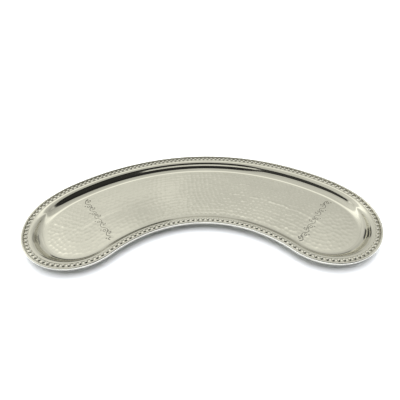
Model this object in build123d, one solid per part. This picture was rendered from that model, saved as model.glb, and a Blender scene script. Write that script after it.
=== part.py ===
"""A crescent-shaped kidney dish: a shallow steel sheet dish with a pearl border and a plain edge band.

All sizes are in millimetres. The origin is on the surface the dish stands on, in the middle of its
length and of its depth from front to back. +X runs along the length, +Y towards the long convex
side, and +Z up. An inset is a distance inwards from the outline, in the plan.
"""

import os
from math import atan2, ceil, cos, degrees, radians, sin, tan

from build123d import *

# Plan outline: tangent arcs, the same on the left as on the right
OUTER_ARC_RADIUS = 258.0
OUTER_ARC_HALF_ANGLE = 36.8
SHOULDER_RADIUS = 112.0
SHOULDER_END_ANGLE = 54.8
END_RADIUS = 59.0
WAIST_WIDTH = 115.0

# Dish body: one sheet with a flat floor, a coved wall and a level flange
SHEET = 0.8
FLOOR_INSET = 20.5
COVE_RADIUS = 8.5
WALL_ANGLE = 66.0
LIP_RADIUS = 5.0
FLANGE_TOP = 10.15
FLANGE_EDGE_INSET = 0.9

# Edge band: round on top, slotted for the flange's edge, with a face that leans in as it goes down
BAND_RADIUS = 1.3
BAND_RISE = 0.6
BAND_LEAN = 14.0
BAND_FOOT_HEIGHT = 8.2
BAND_FOOT_RADIUS = 0.5

# Pearl border: a flat strip with a row of domes
STRIP_THICKNESS = 0.3
STRIP_OUTER_INSET = 2.95
STRIP_INNER_INSET = 6.95
STRIP_CHAMFER = 0.15
PEARL_INSET = 4.95
PEARL_RADIUS = 1.8
PEARL_SINK = 0.1
PEARL_PITCH = 5.29


class Arc:
    """One arc of the outline. Its angles turn clockwise from +Y, in degrees."""

    def __init__(self, centre, radius, start, end, bulge):
        self.centre, self.radius = centre, radius
        self.start, self.end = start, end
        self.bulge = bulge  # 1 where the outline is convex, -1 where it is hollow

    def radius_at(self, inset):
        return self.radius - self.bulge * inset

    def length_at(self, inset):
        return self.radius_at(inset) * radians(abs(self.end - self.start))

    def point_at(self, distance, inset):
        """The plan point this far along the arc, measured at that inset."""
        share = distance / self.length_at(inset)
        angle = radians(self.start + (self.end - self.start) * share)
        r = self.radius_at(inset)
        return self.centre[0] + r * sin(angle), self.centre[1] + r * cos(angle)


def outline():
    """The closed outline as six arcs, clockwise from the left end of the outer arc."""
    shoulder_run = OUTER_ARC_RADIUS - SHOULDER_RADIUS
    shoulder_x = shoulder_run * sin(radians(OUTER_ARC_HALF_ANGLE))
    shoulder_y = shoulder_run * cos(radians(OUTER_ARC_HALF_ANGLE))
    end_run = SHOULDER_RADIUS - END_RADIUS
    end_x = shoulder_x + end_run * sin(radians(SHOULDER_END_ANGLE))
    end_y = shoulder_y + end_run * cos(radians(SHOULDER_END_ANGLE))

    # The inner arc passes through the waist and touches both end arcs.
    waist_y = OUTER_ARC_RADIUS - WAIST_WIDTH
    reach = waist_y + END_RADIUS
    inner_y = (reach**2 - end_x**2 - end_y**2) / (2 * (reach - end_y))
    inner_radius = waist_y - inner_y
    inner_half_angle = degrees(atan2(end_x, end_y - inner_y))

    # The arcs so far are placed from the outer arc's centre; the origin is the plan's middle.
    middle_y = (OUTER_ARC_RADIUS + end_y - END_RADIUS) / 2
    outer = Arc(
        (0, -middle_y), OUTER_ARC_RADIUS, -OUTER_ARC_HALF_ANGLE, OUTER_ARC_HALF_ANGLE, 1
    )
    right_shoulder = Arc(
        (shoulder_x, shoulder_y - middle_y),
        SHOULDER_RADIUS,
        OUTER_ARC_HALF_ANGLE,
        SHOULDER_END_ANGLE,
        1,
    )
    right_end = Arc(
        (end_x, end_y - middle_y), END_RADIUS, SHOULDER_END_ANGLE, 180 + inner_half_angle, 1
    )
    inner = Arc((0, inner_y - middle_y), inner_radius, inner_half_angle, -inner_half_angle, -1)
    left_end = Arc(
        (-end_x, end_y - middle_y), END_RADIUS, -180 - inner_half_angle, -SHOULDER_END_ANGLE, 1
    )
    left_shoulder = Arc(
        (-shoulder_x, shoulder_y - middle_y),
        SHOULDER_RADIUS,
        -SHOULDER_END_ANGLE,
        -OUTER_ARC_HALF_ANGLE,
        1,
    )
    return [outer, right_shoulder, right_end, inner, left_end, left_shoulder]


def swept(section, arcs):
    """Turns a section round the outline. section(place) draws a face; place(inset, z) is its pen."""
    solids = []
    for arc in arcs:

        def place(inset, z, arc=arc):
            return Vector(arc.radius_at(inset), 0, z)

        face = section(place)
        turn = abs(arc.end - arc.start)
        first = 90 - max(arc.start, arc.end)
        solid = revolve(face, Axis.Z, turn)
        solids.append(Pos(arc.centre[0], arc.centre[1], 0) * Rot(0, 0, first) * solid)
    return solids[0].fuse(*solids[1:]).clean()


def polar(place, centre, radius, angle):
    """A pen point on a circle in the section; the angle is from straight up, towards the inside."""
    a = radians(angle)
    return place(centre[0] + radius * sin(a), centre[1] + radius * cos(a))


def arc_edge(place, centre, radius, first, last):
    """A section arc from one angle to another."""
    angles = (first, (first + last) / 2, last)
    return ThreePointArc(*[polar(place, centre, radius, a) for a in angles])


def wall_section(place):
    """The sheet from the floor's edge up the cove and the wall, over the lip and along the flange."""
    wall = radians(WALL_ANGLE)
    turned = 1 - cos(wall)
    wall_rise = FLANGE_TOP - SHEET - (COVE_RADIUS + LIP_RADIUS) * turned
    wall_run = wall_rise * cos(wall) / sin(wall)
    lip_inset = FLOOR_INSET - (COVE_RADIUS + LIP_RADIUS) * sin(wall) - wall_run
    cove = (FLOOR_INSET, SHEET + COVE_RADIUS)
    lip = (lip_inset, FLANGE_TOP - LIP_RADIUS)
    below = FLANGE_TOP - SHEET

    top_cove = arc_edge(place, cove, COVE_RADIUS, -180, -180 + WALL_ANGLE)
    top_lip = arc_edge(place, lip, LIP_RADIUS, WALL_ANGLE, 0)
    bottom_lip = arc_edge(place, lip, LIP_RADIUS - SHEET, 0, WALL_ANGLE)
    bottom_cove = arc_edge(place, cove, COVE_RADIUS + SHEET, -180 + WALL_ANGLE, -180)
    edges = [
        top_cove,
        Line(top_cove @ 1, top_lip @ 0),
        top_lip,
        Line(top_lip @ 1, place(FLANGE_EDGE_INSET, FLANGE_TOP)),
        Line(place(FLANGE_EDGE_INSET, FLANGE_TOP), place(FLANGE_EDGE_INSET, below)),
        Line(place(FLANGE_EDGE_INSET, below), bottom_lip @ 0),
        bottom_lip,
        Line(bottom_lip @ 1, bottom_cove @ 0),
        bottom_cove,
        Line(bottom_cove @ 1, top_cove @ 0),
    ]
    return make_face(Wire(edges))


def band_section(place):
    """The edge band, from its seat on the flange round its top, down its face and up inside."""
    height = FLANGE_TOP + BAND_RISE
    lean = radians(BAND_LEAN)
    seat_reach = (BAND_RADIUS**2 - BAND_RISE**2) ** 0.5
    seat = degrees(atan2(seat_reach, -BAND_RISE))
    face_drop = height - BAND_RADIUS * sin(lean) - BAND_FOOT_HEIGHT
    foot_inset = BAND_RADIUS * (1 - cos(lean)) + face_drop * tan(lean)
    inner_inset = foot_inset + 2 * BAND_FOOT_RADIUS
    below = FLANGE_TOP - SHEET

    round_top = arc_edge(place, (BAND_RADIUS, height), BAND_RADIUS, seat, -90 - BAND_LEAN)
    foot = ThreePointArc(
        place(foot_inset, BAND_FOOT_HEIGHT),
        place(foot_inset + BAND_FOOT_RADIUS, BAND_FOOT_HEIGHT - BAND_FOOT_RADIUS),
        place(inner_inset, BAND_FOOT_HEIGHT),
    )
    edges = [
        round_top,
        Line(round_top @ 1, foot @ 0),
        foot,
        Line(foot @ 1, place(inner_inset, below)),
        Line(place(inner_inset, below), place(FLANGE_EDGE_INSET, below)),
        Line(place(FLANGE_EDGE_INSET, below), place(FLANGE_EDGE_INSET, FLANGE_TOP)),
        Line(place(FLANGE_EDGE_INSET, FLANGE_TOP), round_top @ 0),
    ]
    return make_face(Wire(edges))


def strip_section(place):
    """The pearl border's flat strip, with its top edges broken."""
    top = FLANGE_TOP + STRIP_THICKNESS
    corners = [
        place(STRIP_OUTER_INSET, FLANGE_TOP),
        place(STRIP_OUTER_INSET, top - STRIP_CHAMFER),
        place(STRIP_OUTER_INSET + STRIP_CHAMFER, top),
        place(STRIP_INNER_INSET - STRIP_CHAMFER, top),
        place(STRIP_INNER_INSET, top - STRIP_CHAMFER),
        place(STRIP_INNER_INSET, FLANGE_TOP),
    ]
    return make_face(Wire(Polyline(*corners, close=True).edges()))


def floor_plate(arcs):
    """The flat floor inside the cove."""
    edges = []
    for arc in arcs:
        length = arc.length_at(FLOOR_INSET)
        points = [arc.point_at(length * share, FLOOR_INSET) for share in (0, 0.5, 1)]
        edges.append(ThreePointArc(*[Vector(x, y, 0) for x, y in points]))
    return extrude(make_face(Wire(edges)), SHEET, dir=(0, 0, 1))


def dish_body(arcs):
    return swept(wall_section, arcs).fuse(floor_plate(arcs)).clean()


def pearl_places(arcs):
    """Plan points of the pearls, evenly spaced along their own line."""
    total = sum(arc.length_at(PEARL_INSET) for arc in arcs)
    count = round(total / PEARL_PITCH)
    places = []
    passed = 0.0
    for arc in arcs:
        length = arc.length_at(PEARL_INSET)
        first = ceil((passed - 0.5 * total / count) / (total / count))
        while (first + 0.5) * total / count < passed + length:
            places.append(arc.point_at((first + 0.5) * total / count - passed, PEARL_INSET))
            first += 1
        passed += length
    return places


def pearl_border(arcs):
    strip_top = FLANGE_TOP + STRIP_THICKNESS
    base = FLANGE_TOP + STRIP_THICKNESS / 2
    ball = Pos(0, 0, strip_top - PEARL_SINK) * Sphere(PEARL_RADIUS)
    above = Pos(0, 0, base + PEARL_RADIUS) * Box(
        4 * PEARL_RADIUS, 4 * PEARL_RADIUS, 2 * PEARL_RADIUS
    )
    dome = ball & above
    pearls = [Pos(x, y, 0) * dome for x, y in pearl_places(arcs)]
    return swept(strip_section, arcs).fuse(*pearls)


def main():
    os.makedirs("parts", exist_ok=True)
    arcs = outline()
    nodes = {
        "dish_body": dish_body(arcs),
        "edge_band": swept(band_section, arcs),
        "pearl_border": pearl_border(arcs),
    }
    for name, shape in nodes.items():
        export_step(shape, f"parts/{name}.step")


main()
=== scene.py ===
from math import atan2, cos, degrees, pi, radians, sin, tan, tau

import bpy
import numpy as np
from mathutils import Matrix, Vector
from mathutils.geometry import delaunay_2d_cdt
from mathutils.kdtree import KDTree

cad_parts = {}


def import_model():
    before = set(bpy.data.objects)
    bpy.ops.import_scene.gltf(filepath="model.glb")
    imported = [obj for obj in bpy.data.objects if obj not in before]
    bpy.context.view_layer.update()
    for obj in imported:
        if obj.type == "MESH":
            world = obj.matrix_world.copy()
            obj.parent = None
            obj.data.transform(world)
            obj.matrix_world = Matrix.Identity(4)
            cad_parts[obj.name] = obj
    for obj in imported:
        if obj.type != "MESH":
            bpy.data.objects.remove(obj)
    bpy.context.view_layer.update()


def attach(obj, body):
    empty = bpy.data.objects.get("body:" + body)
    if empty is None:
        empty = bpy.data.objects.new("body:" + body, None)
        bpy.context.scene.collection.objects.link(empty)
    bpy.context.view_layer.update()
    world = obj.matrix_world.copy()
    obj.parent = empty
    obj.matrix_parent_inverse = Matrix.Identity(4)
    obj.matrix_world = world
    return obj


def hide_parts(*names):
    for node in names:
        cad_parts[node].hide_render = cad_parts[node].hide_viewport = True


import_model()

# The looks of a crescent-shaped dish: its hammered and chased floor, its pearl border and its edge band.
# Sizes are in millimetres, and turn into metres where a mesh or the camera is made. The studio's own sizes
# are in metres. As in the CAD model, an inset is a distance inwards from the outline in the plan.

MM = 0.001
SEED = 7

# Plan outline: tangent arcs, the same on the left as on the right
OUTER_ARC_RADIUS = 258.0
OUTER_ARC_HALF_ANGLE = 36.8
SHOULDER_RADIUS = 112.0
SHOULDER_END_ANGLE = 54.8
END_RADIUS = 59.0
WAIST_WIDTH = 115.0

# Dish body
SHEET = 0.8
FLOOR_INSET = 20.5
COVE_RADIUS = 8.5
WALL_ANGLE = 66.0
LIP_RADIUS = 5.0
FLANGE_TOP = 10.15
FLANGE_EDGE_INSET = 0.9

# Edge band
BAND_RADIUS = 1.3
BAND_RISE = 0.6
BAND_LEAN = 14.0
BAND_FOOT_HEIGHT = 8.2
BAND_FOOT_RADIUS = 0.5

# Pearl border. Painted shade, with some grime, darkens the outer foot of a pearl, by how far its surface
# faces outwards.
STRIP_THICKNESS = 0.3
STRIP_OUTER_INSET = 2.95
STRIP_INNER_INSET = 6.95
STRIP_CHAMFER = 0.15
PEARL_INSET = 4.95
PEARL_RADIUS = 1.8
PEARL_SINK = 0.1
PEARL_PITCH = 5.29
PEARL_SIDES = 20
PEARL_ROWS = 8
PEARL_SHADE_AND_GRIME = 0.95
SHADE_AND_GRIME_FROM = 0.66
SHADE_AND_GRIME_TO = 0.86

# Hammer marks: shallow round hollows in rows that follow the outline, deeper in some parts of the floor
MARK_PITCH = 5.3
MARK_ROW_STEP = 4.6
MARK_RADIUS = 33.0
MARK_RADIUS_SPREAD = (0.8, 1.25)
MARK_SCATTER = 0.55
MARK_LIFT = 0.02
MARK_OFFSET = 0.035
MARK_SOFTNESS = 0.008
MARK_NEIGHBOURS = 4
MARK_SWELL = 0.6
MARK_SWELL_AT = 50.0
MARK_SWELL_LENGTH = 260.0
MARK_FADE = 4.0
MARK_LAST_INSET = WAIST_WIDTH / 2 + 2

# Chased stems: one across the floor near each end, scrolling, with rings and dots on one side and
# leaves on the other. Their angles and radii are about the centre of the outer arc.
STEM_ANGLES = (-36.0, 39.3)
STEM_FIRST_RADIUS = 160.5
STEM_LAST_RADIUS = 234.5
STEM_WAVE = 14.8
STEM_SWING = 2.1
STEM_DRIFT = 0.8
STEM_DRIFT_LENGTH = 9.0
BEND_SHIFT = 0.6
BEND_HOLLOW = 0.35
RING_ACROSS = 0.6
RING_RADII = (1.1, 1.5)
DOT_ALONG = 2.6
DOT_ACROSS = 4.2
DOT_RADIUS = 0.35
LEAF_BULGE = 0.28
LEAF_LEANS = (0.9, 1.3)
FIRST_LEAF_ALONG = -0.8
FIRST_LEAF_LENGTHS = (3.2, 4.4)
SECOND_LEAF_ALONG = 2.4
SECOND_LEAF_LENGTHS = (2.2, 3.0)
SECOND_LEAF_LEAN = 0.6
STROKE_STEP = 0.12

# Grooves. A burr stands on both sides of each: BURR_AWAY and BURR_WIDTH are shares of the groove's width.
# By the wall a groove keeps its depth GROOVE_HOLD times nearer than a mark does.
GROOVE_DEPTH = 0.2
GROOVE_WIDTH = 0.38
GROOVE_FADE = 0.3
GROOVE_HOLD = 3
BURR_AWAY = 2.0
BURR_WIDTH = 0.7
BURR_HEIGHT = 0.03

# Section fineness: points on each curve
FLANGE_POINTS = 9
LIP_POINTS = 8
COVE_POINTS = 15
LIP_BELOW_POINTS = 5
COVE_BELOW_POINTS = 10
BAND_TOP_POINTS = 24
BAND_FOOT_POINTS = 8

# Mesh fineness. The floor's vertices are FLOOR_STEP apart, and GROOVE_STEP apart within FINE_REACH of a
# chased line.
COLUMN_STEP = 1.0
FLOOR_STEP = 0.9
GROOVE_STEP = 0.3
FLOOR_EDGE_INSET = FLOOR_INSET + FLOOR_STEP * 0.6
FINE_REACH = 3.2 * GROOVE_WIDTH
FINE_GAP = 0.1
FINE_MARGIN = 4
INSIDE_LOOP = 1  # the triangulation keeps only what is inside its loop of edges
MERGE_DISTANCE = 1e-5
ANGLE_SLACK = 1e-9

# Steels
HAMMERED_COLOUR = (0.70, 0.69, 0.62)
TRIM_COLOUR = (0.73, 0.72, 0.66)
# Near-black for painted shade in recesses, with some grime at the pearls' feet.
GRIME_AND_SHADE_COLOUR = (0.05, 0.048, 0.042, 1)
HAMMERED_ROUGHNESS = 0.07
BAND_ROUGHNESS = 0.22
PEARL_ROUGHNESS = 0.13
ROUGHNESS_SPREAD = (0.75, 1.35)
CLOUD_SCALE = 22.0
CLOUD_DETAIL = 4.0
CLOUD_RANGE = (0.35, 0.65)
CLOUD_SHADE = 0.93
SCRATCH_SCALE = 900.0
SCRATCH_DETAIL = 5.0

# Camera
VIEW_ELEVATION = 45.8
VIEW_DISTANCE = 342.0
VIEW_ROLL = 1.11
VIEW_LENS = 27.18
VIEW_SENSOR = 36.0
VIEW_NEAR = 0.01
VIEW_SHIFT = (-0.00325, 0.00575)

# Studio. The room's brightness goes by an angle: 0 at the front, 90 overhead and 180 at the back. It also
# falls from left to right, and varies in patches.
STUDIO_TINT = (0.957, 0.952, 0.878)
STUDIO_LEVELS = (
    (0, 1.10),
    (17, 1.00),
    (48, 0.60),
    (60, 0.72),
    (100, 0.80),
    (110, 1.45),
    (117, 1.40),
    (124, 1.00),
    (129, 0.93),
    (132.5, 0.78),
    (136, 0.92),
    (140, 0.84),
    (147, 0.74),
    (160, 0.70),
)
# A dark doorway in front, which the far wall mirrors. Its top is lower to the left of FRONT_LEFT. Below
# LAMP_TOP its middle is as bright as the room.
FRONT_DARK = 0.045
FRONT_TOP = 60.0
FRONT_TOP_LEFT = 32.0
FRONT_LEFT = (-0.42, -0.30)
FRONT_REACH = 0.35
FRONT_SOFTNESS = 0.006
REACH_SOFTNESS = 0.03
HORIZON_SOFTNESS = 0.01
LAMP_TOP = 14.0
LAMP_TOP_SOFTNESS = 1
LAMP_HALF_WIDTH = 0.37
LAMP_SIDE_SOFTNESS = 0.03
# Two darker places low at the back, which the near wall mirrors.
BACK_TOP = 156.0
BACK_TOP_SOFTNESS = 3
BACK_REACH = 0.55
BACK_SOFTNESS = 0.05
BACK_PLACES = ((-0.50, -0.20, 0.12), (0.24, 0.50, 0.50))  # from, to and how bright
SIDE_FALL = 0.22
PATCHES = 0.20
PATCH_SCALE = 8.0
PATCH_DETAIL = 1.0
LIGHT_DISTANCE = 1.5
LIGHT_COLOUR = (0.98, 0.985, 1.0)
LIGHTS = (  # name, elevation, width, height and power
    ("back", 36.0, 2.0, 0.80, 30.0),
    ("overhead", 80.0, 2.4, 1.60, 40.0),
)
PAPER_COLOUR = (0.84, 0.86, 0.90, 1)
PAPER_ROUGHNESS = 0.9
FLOOR_HALF = 3.0
FLOOR_DROP = 0.00005


# ---- plan ----------------------------------------------------------------------------------------


class Arc:
    """One arc of the outline. Its angles turn clockwise from +Y, in degrees, and its bulge is 1, or -1
    where the outline is hollow."""

    def __init__(self, centre, radius, start, end, bulge):
        self.centre, self.radius = np.array(centre), radius
        self.start, self.end = start, end
        self.bulge = bulge

    def radius_at(self, inset):
        return self.radius - self.bulge * inset

    def length_at(self, inset):
        return self.radius_at(inset) * radians(abs(self.end - self.start))

    def angle_at(self, share):
        return np.radians(self.start + (self.end - self.start) * np.asarray(share))


def outline():
    """The closed outline as six arcs, clockwise from the left end of the outer arc."""
    shoulder_run = OUTER_ARC_RADIUS - SHOULDER_RADIUS
    shoulder_x = shoulder_run * sin(radians(OUTER_ARC_HALF_ANGLE))
    shoulder_y = shoulder_run * cos(radians(OUTER_ARC_HALF_ANGLE))
    end_run = SHOULDER_RADIUS - END_RADIUS
    end_x = shoulder_x + end_run * sin(radians(SHOULDER_END_ANGLE))
    end_y = shoulder_y + end_run * cos(radians(SHOULDER_END_ANGLE))
    waist_y = OUTER_ARC_RADIUS - WAIST_WIDTH
    reach = waist_y + END_RADIUS
    inner_y = (reach**2 - end_x**2 - end_y**2) / (2 * (reach - end_y))
    inner_half = degrees(atan2(end_x, end_y - inner_y))
    middle_y = (OUTER_ARC_RADIUS + end_y - END_RADIUS) / 2

    def arc(x, y, radius, start, end, bulge=1):
        return Arc((x, y - middle_y), radius, start, end, bulge)

    turn, last = OUTER_ARC_HALF_ANGLE, SHOULDER_END_ANGLE
    return [
        arc(0, 0, OUTER_ARC_RADIUS, -turn, turn),
        arc(shoulder_x, shoulder_y, SHOULDER_RADIUS, turn, last),
        arc(end_x, end_y, END_RADIUS, last, 180 + inner_half),
        arc(0, inner_y, waist_y - inner_y, inner_half, -inner_half, -1),
        arc(-end_x, end_y, END_RADIUS, -180 - inner_half, -last),
        arc(-shoulder_x, shoulder_y, SHOULDER_RADIUS, -last, -turn),
    ]


ARCS = outline()


def round_the_outline(step):
    """Even columns round the outline: each one's centre, outward direction, radius and bulge."""
    rows = []
    for arc in ARCS:
        count = round(arc.length_at(0) / step)
        for angle in arc.angle_at(np.arange(count) / count):
            rows.append((*arc.centre, sin(angle), cos(angle), arc.radius, arc.bulge))
    return np.array(rows)


def plan_points(columns, insets):
    """Plan points of every column at every inset: (inset, column, 2)."""
    radius = columns[:, 4] - columns[:, 5] * np.asarray(insets)[:, None]
    return columns[:, 0:2] + radius[..., None] * columns[:, 2:4]


def walk(inset, pitch, phase=0.5):
    """Points at an even pitch along the line at an inset, with the outward direction at each."""
    total = sum(arc.length_at(inset) for arc in ARCS)
    count = round(total / pitch)
    places, passed = [], 0.0
    distances = (np.arange(count) + phase) * total / count
    for arc in ARCS:
        length = arc.length_at(inset)
        mine = distances[(distances >= passed) & (distances < passed + length)]
        for angle in arc.angle_at((mine - passed) / length):
            out = np.array((sin(angle), cos(angle)))
            places.append((*(arc.centre + arc.radius_at(inset) * out), *(out * arc.bulge)))
        passed += length
    return np.array(places)


def depth_inside(points):
    """How far each plan point lies inside the outline."""
    deepest = np.full(len(points), np.inf)
    for arc in ARCS:
        away = points - arc.centre
        middle = radians((arc.start + arc.end) / 2)
        turn = np.arctan2(away[:, 0], away[:, 1]) - middle
        turn = (turn + pi) % tau - pi
        inset = (arc.radius - np.hypot(away[:, 0], away[:, 1])) * arc.bulge
        reach = radians(abs(arc.end - arc.start) / 2)
        mine = (np.abs(turn) <= reach + ANGLE_SLACK) & (np.abs(inset) < np.abs(deepest))
        deepest = np.where(mine, inset, deepest)
    return deepest


# ---- sections ------------------------------------------------------------------------------------


def bow(centre, radius, first, last, count):
    """Points on a section's arc. The angle is from straight up, towards the inside."""
    angles = np.radians(np.linspace(first, last, count))
    return [(centre[0] + radius * sin(a), centre[1] + radius * cos(a)) for a in angles]


def body_section():
    """The sheet's section: up the inside from the floor to the flange's edge, then back below it."""
    wall = radians(WALL_ANGLE)
    rise = FLANGE_TOP - SHEET - (COVE_RADIUS + LIP_RADIUS) * (1 - cos(wall))
    run = rise * cos(wall) / sin(wall)
    lip = (FLOOR_INSET - (COVE_RADIUS + LIP_RADIUS) * sin(wall) - run, FLANGE_TOP - LIP_RADIUS)
    cove = (FLOOR_INSET, SHEET + COVE_RADIUS)
    flange_insets = np.linspace(FLANGE_EDGE_INSET, lip[0], FLANGE_POINTS)[:-1]
    flange = [(inset, FLANGE_TOP) for inset in flange_insets]
    top = bow(cove, COVE_RADIUS, -180, -180 + WALL_ANGLE, COVE_POINTS)
    top += bow(lip, LIP_RADIUS, WALL_ANGLE, 0, LIP_POINTS) + flange[::-1]
    below = [(FLANGE_EDGE_INSET, FLANGE_TOP - SHEET)]
    below += bow(lip, LIP_RADIUS - SHEET, 0, WALL_ANGLE, LIP_BELOW_POINTS)
    below += bow(cove, COVE_RADIUS + SHEET, -180 + WALL_ANGLE, -180, COVE_BELOW_POINTS)
    return top + below


def band_section():
    """The edge band from its seat on the flange, round its top, down its face and up inside."""
    height = FLANGE_TOP + BAND_RISE
    lean = radians(BAND_LEAN)
    seat = degrees(atan2((BAND_RADIUS**2 - BAND_RISE**2) ** 0.5, -BAND_RISE))
    face_drop = height - BAND_RADIUS * sin(lean) - BAND_FOOT_HEIGHT
    foot_inset = BAND_RADIUS * (1 - cos(lean)) + face_drop * tan(lean)
    foot = (foot_inset + BAND_FOOT_RADIUS, BAND_FOOT_HEIGHT)
    below = FLANGE_TOP - SHEET
    section = bow((BAND_RADIUS, height), BAND_RADIUS, seat, -90 - BAND_LEAN, BAND_TOP_POINTS)
    section += bow(foot, BAND_FOOT_RADIUS, -90, -270, BAND_FOOT_POINTS)
    section += [(foot[0] + BAND_FOOT_RADIUS, below)]
    return section + [(FLANGE_EDGE_INSET, below), (FLANGE_EDGE_INSET, FLANGE_TOP)]


def strip_section():
    """The pearls' strip, with its upper edges chamfered."""
    top = FLANGE_TOP + STRIP_THICKNESS
    shoulder = top - STRIP_CHAMFER
    return [
        (STRIP_INNER_INSET, FLANGE_TOP),
        (STRIP_INNER_INSET, shoulder),
        (STRIP_INNER_INSET - STRIP_CHAMFER, top),
        (STRIP_OUTER_INSET + STRIP_CHAMFER, top),
        (STRIP_OUTER_INSET, shoulder),
        (STRIP_OUTER_INSET, FLANGE_TOP),
    ]


# ---- meshes --------------------------------------------------------------------------------------


class Surface:
    """Vertices, faces and a recess value for each vertex, gathered before they become one mesh. The recess
    value darkens the steel with painted shade.
    """

    def __init__(self):
        self.points, self.recess, self.faces = [], [], []
        self.count = 0

    def add(self, points, recess=0.0):
        """Adds vertices and gives the number of the first one."""
        first = self.count
        points = np.asarray(points, float).reshape(-1, 3)
        self.points.append(points)
        self.recess.append(np.broadcast_to(np.asarray(recess, float), len(points)))
        self.count += len(points)
        return first

    def band(self, first, rows, columns, closed_section=False):
        """Quads over rows of vertices that each go right round."""
        last = rows if closed_section else rows - 1
        for row in range(last):
            a, b = first + row * columns, first + (row + 1) % rows * columns
            for k in range(columns):
                n = (k + 1) % columns
                self.faces.append((a + k, a + n, b + n, b + k))

    def make(self, name, material):
        """Makes the gathered mesh into a visible piece on the root body."""
        mesh = bpy.data.meshes.new(name)
        mesh.from_pydata(np.concatenate(self.points) * MM, [], self.faces)
        recess = mesh.attributes.new("recess", "FLOAT", "POINT")
        recess.data.foreach_set("value", np.concatenate(self.recess))
        mesh.shade_smooth()
        mesh.update()
        piece = bpy.data.objects.new(name, mesh)
        bpy.context.scene.collection.objects.link(piece)
        mesh.materials.append(material)
        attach(piece, "root")
        return piece


def sweep(surface, section, columns, closed=False):
    """Sweeps a section round the outline and gives the number of its first vertex."""
    insets, heights = np.array(section).T
    plan = plan_points(columns, insets)
    height = np.broadcast_to(heights[:, None, None], (*plan.shape[:2], 1))
    first = surface.add(np.concatenate((plan, height), axis=2))
    surface.band(first, len(section), len(columns), closed)
    return first


def near(tree, points, count=1):
    """Distances from plan points to a tree's nearest entries, and the entries' numbers: (point, entry)."""
    found = [tree.find_n((x, y, 0), count) for x, y in points]
    distances = np.array([[hit[2] for hit in hits] for hits in found])
    numbers = np.array([[hit[1] for hit in hits] for hits in found])
    return distances, numbers


def tree_of(points):
    """A tree of plan points, for near()."""
    tree = KDTree(len(points))
    for k, (x, y) in enumerate(points):
        tree.insert((x, y, 0), k)
    tree.balance()
    return tree


def hammered(points):
    """Height of the hammer marks at plan points: the lowest of the marks nearest, smoothly joined."""
    rng = np.random.default_rng(SEED)
    insets = np.arange(FLOOR_INSET - MARK_ROW_STEP / 2, MARK_LAST_INSET, MARK_ROW_STEP)
    rows = [walk(inset, MARK_PITCH, 0.5 * (k % 2)) for k, inset in enumerate(insets)]
    centres = np.concatenate([row[:, :2] for row in rows])
    centres += rng.normal(0, MARK_SCATTER, centres.shape)
    lift = rng.uniform(0, MARK_LIFT, len(centres))
    swell = tau * (centres[:, 0] - MARK_SWELL_AT) / MARK_SWELL_LENGTH
    depth = 1 + MARK_SWELL * np.cos(swell)
    radius = MARK_RADIUS * rng.uniform(*MARK_RADIUS_SPREAD, len(centres)) / depth
    away, which = near(tree_of(centres), points, MARK_NEIGHBOURS)
    bowl = away**2 / (2 * radius[which]) + lift[which]
    return -MARK_SOFTNESS * np.log(np.exp(-bowl / MARK_SOFTNESS).sum(axis=1))


def ring(along, across, radius):
    """A small chased circle, or a punched dot where the radius is small."""
    angles = np.arange(0, tau, STROKE_STEP / radius)
    return np.stack((along + radius * np.cos(angles), across + radius * np.sin(angles)), axis=1)


def leaf(along, across, length, lean):
    """A pointed leaf: two bowed lines that meet at both ends, leaning away from the stem."""
    share = np.linspace(0, 1, round(length / STROKE_STEP))
    run, bulge = length * share, LEAF_BULGE * length * np.sin(pi * share)
    sides = []
    for side in (1, -1):
        a = along + run * cos(lean) - side * bulge * sin(lean)
        b = across + run * sin(lean) + side * bulge * cos(lean)
        sides.append(np.stack((a, b), axis=1))
    return np.concatenate(sides)


def scroll(side, rng):
    """The strokes of one chased stem: distance along it, and across it. side is where its leaves are."""
    length = STEM_LAST_RADIUS - STEM_FIRST_RADIUS
    along = np.arange(0, length, STROKE_STEP)
    wave = along + STEM_DRIFT * np.sin(along / STEM_DRIFT_LENGTH)
    strokes = [np.stack((along, STEM_SWING * np.sin(tau * wave / STEM_WAVE)), axis=1)]
    for k in range(int(length / STEM_WAVE * 2)):
        middle = (k + 0.5) * STEM_WAVE / 2 + rng.uniform(-BEND_SHIFT, BEND_SHIFT)
        swing = 1 if k % 2 == 0 else -1
        hollow = -swing * STEM_SWING * BEND_HOLLOW
        if swing == side:
            radius = rng.uniform(*RING_RADII)
            strokes.append(ring(middle, hollow - swing * RING_ACROSS, radius))
            strokes.append(ring(middle + DOT_ALONG, -swing * DOT_ACROSS, DOT_RADIUS))
        else:
            lean = -swing * rng.uniform(*LEAF_LEANS)
            first = rng.uniform(*FIRST_LEAF_LENGTHS)
            second = rng.uniform(*SECOND_LEAF_LENGTHS)
            strokes.append(leaf(middle + FIRST_LEAF_ALONG, hollow, first, lean))
            strokes.append(leaf(middle + SECOND_LEAF_ALONG, hollow, second, SECOND_LEAF_LEAN * lean))
    return np.concatenate(strokes)


def chased_lines():
    """Plan points close together along every chased line."""
    rng = np.random.default_rng(SEED)
    lines = []
    centre = ARCS[0].centre
    for angle, side in zip(STEM_ANGLES, (1, -1)):
        along, across = scroll(side, rng).T
        out = np.array((sin(radians(angle)), cos(radians(angle))))
        beside = np.array((out[1], -out[0]))
        reach = STEM_FIRST_RADIUS + along
        lines.append(centre + reach[:, None] * out + across[:, None] * beside)
    return np.concatenate(lines)


def lattice(step):
    """An even triangular lattice over the whole plan."""
    half_x = ARCS[2].centre[0] + END_RADIUS
    half_y = ARCS[0].centre[1] + OUTER_ARC_RADIUS
    rows = np.arange(-half_y, half_y, step * 3**0.5 / 2)
    columns = np.arange(-half_x, half_x, step)
    x, y = np.meshgrid(columns, rows)
    x = x + step / 2 * (np.arange(len(rows)) % 2)[:, None]
    return np.stack((x.ravel(), y.ravel()), axis=1)


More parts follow.
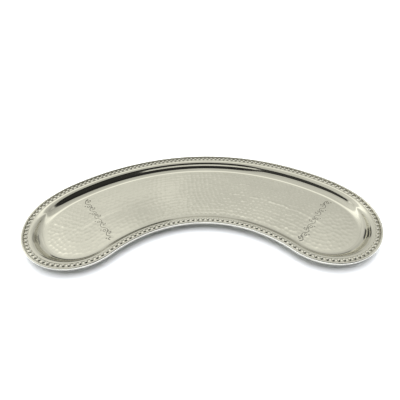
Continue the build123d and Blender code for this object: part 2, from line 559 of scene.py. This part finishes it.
def floor_points(lines, lines_tree):
    """Floor vertices inside the cove: even, and finer beside the chased lines."""
    coarse = lattice(FLOOR_STEP)
    coarse = coarse[depth_inside(coarse) > FLOOR_EDGE_INSET]
    coarse = coarse[near(lines_tree, coarse)[0][:, 0] >= FINE_REACH + FINE_GAP]
    fine = lattice(GROOVE_STEP)
    right_lines = lines[lines[:, 0] > 0]
    fine = fine[np.abs(fine[:, 0]) > right_lines[:, 0].min() - FINE_MARGIN]
    fine = fine[depth_inside(fine) > FLOOR_EDGE_INSET]
    fine = fine[near(lines_tree, fine)[0][:, 0] < FINE_REACH]
    return np.concatenate((coarse, fine))


def floor_height(points, lines_tree):
    """Height of the floor's upper side, and how deep in a chased line each point is."""
    fade = np.clip((depth_inside(points) - FLOOR_INSET) / MARK_FADE, 0, 1)
    fade = fade * fade * (3 - 2 * fade)
    away = near(lines_tree, points)[0][:, 0]
    reach = np.hypot(*(points - ARCS[0].centre).T)
    share = np.clip((reach - STEM_FIRST_RADIUS) / (STEM_LAST_RADIUS - STEM_FIRST_RADIUS), 0, 1)
    groove = (1 - GROOVE_FADE * np.sin(pi * share)) * np.exp(-((away / GROOVE_WIDTH) ** 2))
    burr = np.exp(-(((away - BURR_AWAY * GROOVE_WIDTH) / (BURR_WIDTH * GROOVE_WIDTH)) ** 2))
    marks = hammered(points) - MARK_OFFSET
    chasing = BURR_HEIGHT * burr - GROOVE_DEPTH * groove
    height = SHEET + fade * marks + np.minimum(fade * GROOVE_HOLD, 1) * chasing
    return height, groove


def dish_body(material):
    """The swept wall and flange, the upper floor joined to the wall's foot, and a flat floor below."""
    surface = Surface()
    columns = round_the_outline(COLUMN_STEP)
    count = len(columns)
    section = body_section()
    floor_edge = sweep(surface, section, columns)
    lines = chased_lines()
    lines_tree = tree_of(lines)

    inner = floor_points(lines, lines_tree)
    edge = plan_points(columns, [FLOOR_INSET])[0]
    plan = [Vector(p) for p in np.concatenate((edge, inner))]
    loop = [(k, (k + 1) % count) for k in range(count)]
    _, _, triangles, sources, _, _ = delaunay_2d_cdt(plan, loop, [], INSIDE_LOOP, MERGE_DISTANCE)
    height, groove = floor_height(inner, lines_tree)
    # The depth in a chased line becomes the recess value: painted shade darkens the grooves.
    first = surface.add(np.column_stack((inner, height)), groove)
    origins = [source[0] for source in sources]
    number = [floor_edge + k if k < count else first + k - count for k in origins]
    surface.faces.extend(tuple(number[k] for k in triangle) for triangle in triangles)
    last_row = floor_edge + (len(section) - 1) * count
    surface.faces.append(tuple(last_row + k for k in range(count)))
    piece = surface.make("dish_body_looks", material)
    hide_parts("dish_body")


def edge_band(material):
    """The band round the flange's edge."""
    surface = Surface()
    sweep(surface, band_section(), round_the_outline(COLUMN_STEP), closed=True)
    piece = surface.make("edge_band_looks", material)
    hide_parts("edge_band")


def add_pearl(surface, x, y, out_x, out_y):
    """One pearl: a dome whose flat foot is half-way down in the strip."""
    centre_z = FLANGE_TOP + STRIP_THICKNESS - PEARL_SINK
    foot_z = FLANGE_TOP + STRIP_THICKNESS / 2
    lowest = np.arcsin((foot_z - centre_z) / PEARL_RADIUS)
    angles = np.arange(PEARL_SIDES) * tau / PEARL_SIDES + atan2(out_y, out_x)
    facing = np.cos(angles) * out_x + np.sin(angles) * out_y
    first = surface.count
    for tilt in np.linspace(lowest, pi / 2, PEARL_ROWS)[:-1]:
        radius = PEARL_RADIUS * cos(tilt)
        z = np.full(PEARL_SIDES, centre_z + PEARL_RADIUS * sin(tilt))
        row = np.stack((x + radius * np.cos(angles), y + radius * np.sin(angles), z), axis=1)
        # Painted shade with some grime: darker near the foot, the more the surface faces outwards.
        shade_and_grime = (facing * cos(tilt) - SHADE_AND_GRIME_FROM) / (SHADE_AND_GRIME_TO - SHADE_AND_GRIME_FROM)
        surface.add(row, PEARL_SHADE_AND_GRIME * np.clip(shade_and_grime, 0, 1))
    tip = surface.add([(x, y, centre_z + PEARL_RADIUS)])
    surface.band(first, PEARL_ROWS - 1, PEARL_SIDES)
    last_row = first + (PEARL_ROWS - 2) * PEARL_SIDES
    for k in range(PEARL_SIDES):
        surface.faces.append((last_row + k, last_row + (k + 1) % PEARL_SIDES, tip))
    surface.faces.append(tuple(first + k for k in range(PEARL_SIDES))[::-1])


def pearl_border(material):
    """The strip on the flange with its pearls."""
    surface = Surface()
    sweep(surface, strip_section(), round_the_outline(COLUMN_STEP), closed=True)
    for place in walk(PEARL_INSET, PEARL_PITCH):
        add_pearl(surface, *place)
    piece = surface.make("pearl_border_looks", material)
    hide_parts("pearl_border")


# ---- materials -----------------------------------------------------------------------------------


def steel(name, colour, roughness):
    """Steel with a cloudy tint, uneven fine roughness, and painted shade (with some grime at the pearls)
    darkening it where the recess value is high.
    """
    material = bpy.data.materials.new(name)
    material.use_nodes = True
    tree = material.node_tree
    nodes, links = tree.nodes, tree.links
    shader = nodes["Principled BSDF"]
    shader.inputs["Metallic"].default_value = 1.0
    place = nodes.new("ShaderNodeTexCoord")
    recess = nodes.new("ShaderNodeAttribute")
    recess.attribute_name = "recess"

    cloud = nodes.new("ShaderNodeTexNoise")
    cloud.inputs["Scale"].default_value = CLOUD_SCALE
    cloud.inputs["Detail"].default_value = CLOUD_DETAIL
    links.new(place.outputs["Object"], cloud.inputs["Vector"])
    tint = nodes.new("ShaderNodeValToRGB")
    shaded, full = tint.color_ramp.elements
    shaded.position, full.position = CLOUD_RANGE
    shaded.color = (*[c * CLOUD_SHADE for c in colour], 1)
    full.color = (*colour, 1)
    links.new(cloud.outputs["Fac"], tint.inputs["Fac"])
    # Painted shade: the recess value darkens the colour, in the chased grooves and at the pearls' outer
    # feet (there with some grime).
    darken = nodes.new("ShaderNodeMix")
    darken.data_type = "RGBA"
    darken.inputs["B"].default_value = GRIME_AND_SHADE_COLOUR
    links.new(recess.outputs["Fac"], darken.inputs["Factor"])
    links.new(tint.outputs["Color"], darken.inputs["A"])
    links.new(darken.outputs["Result"], shader.inputs["Base Color"])

    scratch = nodes.new("ShaderNodeTexNoise")
    scratch.inputs["Scale"].default_value = SCRATCH_SCALE
    scratch.inputs["Detail"].default_value = SCRATCH_DETAIL
    links.new(place.outputs["Object"], scratch.inputs["Vector"])
    rough = nodes.new("ShaderNodeMapRange")
    least, most = ROUGHNESS_SPREAD
    rough.inputs["To Min"].default_value = roughness * least
    rough.inputs["To Max"].default_value = roughness * most
    links.new(scratch.outputs["Fac"], rough.inputs["Value"])
    links.new(rough.outputs["Result"], shader.inputs["Roughness"])
    return material


# ---- studio --------------------------------------------------------------------------------------


def camera():
    """The camera, turned about its own axis by the view's roll."""
    data = bpy.data.cameras.new("camera")
    data.lens = VIEW_LENS
    data.sensor_width = VIEW_SENSOR
    data.shift_x, data.shift_y = VIEW_SHIFT
    data.clip_start = VIEW_NEAR
    eye = bpy.data.objects.new("camera", data)
    bpy.context.scene.collection.objects.link(eye)
    tilt, roll = radians(VIEW_ELEVATION), radians(VIEW_ROLL)
    level, rise = Vector((1, 0, 0)), Vector((0, sin(tilt), cos(tilt)))
    right = cos(roll) * level - sin(roll) * rise
    up = sin(roll) * level + cos(roll) * rise
    back = right.cross(up)
    target = Vector((0, 0, (FLANGE_TOP + BAND_RISE) * MM))
    turn = Matrix((right, up, back)).transposed().to_4x4()
    eye.matrix_world = Matrix.Translation(target + back * VIEW_DISTANCE * MM) @ turn
    bpy.context.scene.camera = eye


def paper():
    """The pale table that the dish stands on."""
    mesh = bpy.data.meshes.new("floor")
    corners = [(-1, -1), (1, -1), (1, 1), (-1, 1)]
    places = [(x * FLOOR_HALF, y * FLOOR_HALF, -FLOOR_DROP) for x, y in corners]
    mesh.from_pydata(places, [], [(0, 1, 2, 3)])
    ground = bpy.data.objects.new("floor", mesh)
    bpy.context.scene.collection.objects.link(ground)
    material = bpy.data.materials.new("paper")
    material.use_nodes = True
    shader = material.node_tree.nodes["Principled BSDF"]
    shader.inputs["Base Color"].default_value = PAPER_COLOUR
    shader.inputs["Roughness"].default_value = PAPER_ROUGHNESS
    shader.inputs["Specular IOR Level"].default_value = 0.0
    mesh.materials.append(material)


def soft_light(name, elevation, width, height, power):
    """A soft light behind or over the dish, which lights the table and isn't seen in the steel."""
    data = bpy.data.lights.new(name, "AREA")
    data.shape = "RECTANGLE"
    data.size, data.size_y = width, height
    data.energy = power
    data.color = LIGHT_COLOUR
    light = bpy.data.objects.new(name, data)
    bpy.context.scene.collection.objects.link(light)
    rise = radians(elevation)
    place = Vector((0, cos(rise), sin(rise))) * LIGHT_DISTANCE
    turn = place.to_track_quat("Z", "Y").to_matrix().to_4x4()
    light.matrix_world = Matrix.Translation(place) @ turn
    light.visible_glossy = False


class Shade:
    """Short forms for the nodes that the world's brightness is worked out with."""

    def __init__(self, tree):
        self.nodes, self.links = tree.nodes, tree.links

    def feed(self, value, socket):
        if isinstance(value, (int, float)):
            socket.default_value = value
        else:
            self.links.new(value, socket)

    def maths(self, operation, *values):
        node = self.nodes.new("ShaderNodeMath")
        node.operation = operation
        for value, socket in zip(values, node.inputs):
            self.feed(value, socket)
        return node.outputs["Value"]

    def step(self, value, low, high):
        """A smooth rise from 0 at low to 1 at high."""
        node = self.nodes.new("ShaderNodeMapRange")
        node.interpolation_type = "SMOOTHSTEP"
        self.feed(value, node.inputs["Value"])
        node.inputs["From Min"].default_value = low
        node.inputs["From Max"].default_value = high
        return node.outputs["Result"]

    def ramp(self, value, stops):
        """Colour by value: stops are (value from 0 to 1, colour)."""
        node = self.nodes.new("ShaderNodeValToRGB")
        node.color_ramp.interpolation = "EASE"
        elements = node.color_ramp.elements
        while len(elements) < len(stops):
            elements.new(1.0)
        for element, (position, colour) in zip(elements, stops):
            element.position = position
            element.color = (*colour, 1)
        self.feed(value, node.inputs["Fac"])
        return node.outputs["Color"]


def world():
    """The studio: the room's brightness, the dark doorway and places, and the backdrop."""
    sky = bpy.data.worlds.new("studio")
    bpy.context.scene.world = sky
    sky.use_nodes = True
    shade = Shade(sky.node_tree)
    place = shade.nodes.new("ShaderNodeTexCoord")
    parts = shade.nodes.new("ShaderNodeSeparateXYZ")
    shade.links.new(place.outputs["Generated"], parts.inputs["Vector"])
    x, y, z = (parts.outputs[axis] for axis in "XYZ")
    ahead = shade.maths("MULTIPLY", y, -1)
    turn = shade.maths("DIVIDE", shade.maths("ARCTAN2", z, ahead), pi)
    stops = [(angle / 180, [level * c for c in STUDIO_TINT]) for angle, level in STUDIO_LEVELS]
    room = shade.ramp(turn, stops)

    side = shade.maths("DIVIDE", x, shade.maths("MAXIMUM", ahead, 0.01))
    left, less_left = FRONT_LEFT
    reach = FRONT_TOP_LEFT / 180
    top = shade.maths(
        "MULTIPLY_ADD", shade.step(side, left, less_left), FRONT_TOP / 180 - reach, reach
    )
    over_top = shade.maths("SUBTRACT", turn, top)
    below_top = shade.step(over_top, FRONT_SOFTNESS, -FRONT_SOFTNESS)
    within = shade.step(ahead, FRONT_REACH - REACH_SOFTNESS, FRONT_REACH + REACH_SOFTNESS)
    front = shade.maths("MULTIPLY", below_top, within)
    lamp_low = shade.step(
        turn, (LAMP_TOP + LAMP_TOP_SOFTNESS) / 180, (LAMP_TOP - LAMP_TOP_SOFTNESS) / 180
    )
    lamp_across = shade.step(
        shade.maths("ABSOLUTE", side),
        LAMP_HALF_WIDTH + LAMP_SIDE_SOFTNESS,
        LAMP_HALF_WIDTH - LAMP_SIDE_SOFTNESS,
    )
    lamp = shade.maths("MULTIPLY", lamp_low, lamp_across)
    front = shade.maths("MULTIPLY", front, shade.maths("SUBTRACT", 1, lamp))
    above_table = shade.step(z, -HORIZON_SOFTNESS, HORIZON_SOFTNESS)
    front = shade.maths("MULTIPLY", front, above_table)
    keep = shade.maths("MULTIPLY_ADD", front, FRONT_DARK - 1, 1)

    at_back = shade.step(y, BACK_REACH - BACK_SOFTNESS, BACK_REACH)
    back_low = shade.step(
        turn, (BACK_TOP - BACK_TOP_SOFTNESS) / 180, (BACK_TOP + BACK_TOP_SOFTNESS) / 180
    )
    behind = shade.maths("MULTIPLY", at_back, back_low)
    for low, high, bright in BACK_PLACES:
        from_left = shade.step(x, low - BACK_SOFTNESS, low)
        to_right = shade.step(x, high + BACK_SOFTNESS, high)
        dark = shade.maths("MULTIPLY", behind, shade.maths("MULTIPLY", from_left, to_right))
        keep = shade.maths("MULTIPLY", keep, shade.maths("MULTIPLY_ADD", dark, bright - 1, 1))

    fall = shade.maths("MULTIPLY_ADD", x, -SIDE_FALL, 1)
    patches = shade.nodes.new("ShaderNodeTexNoise")
    patches.inputs["Scale"].default_value = PATCH_SCALE
    patches.inputs["Detail"].default_value = PATCH_DETAIL
    shade.links.new(place.outputs["Generated"], patches.inputs["Vector"])
    patchy = shade.maths("MULTIPLY_ADD", patches.outputs["Fac"], 2 * PATCHES, 1 - PATCHES)
    level = shade.maths("MULTIPLY", shade.maths("MULTIPLY", keep, fall), patchy)

    # The room lights the dish and is seen in the steel, but the camera itself sees a plain white backdrop.
    seen = shade.nodes.new("ShaderNodeLightPath").outputs["Is Camera Ray"]
    plain = shade.nodes.new("ShaderNodeMix")
    plain.data_type = "RGBA"
    plain.inputs["B"].default_value = (1, 1, 1, 1)
    shade.links.new(seen, plain.inputs["Factor"])
    shade.links.new(room, plain.inputs["A"])
    strength = shade.maths("MULTIPLY_ADD", seen, shade.maths("SUBTRACT", 1, level), level)
    background = shade.nodes["Background"]
    shade.links.new(plain.outputs["Result"], background.inputs["Color"])
    shade.links.new(strength, background.inputs["Strength"])


def main():
    """Makes the camera, the studio and the three pieces."""
    bpy.context.scene.view_settings.view_transform = "Standard"
    camera()
    world()
    for light in LIGHTS:
        soft_light(*light)
    paper()
    dish_body(steel("hammered_steel", HAMMERED_COLOUR, HAMMERED_ROUGHNESS))
    edge_band(steel("band_steel", TRIM_COLOUR, BAND_ROUGHNESS))
    pearl_border(steel("pearl_steel", TRIM_COLOUR, PEARL_ROUGHNESS))


main()
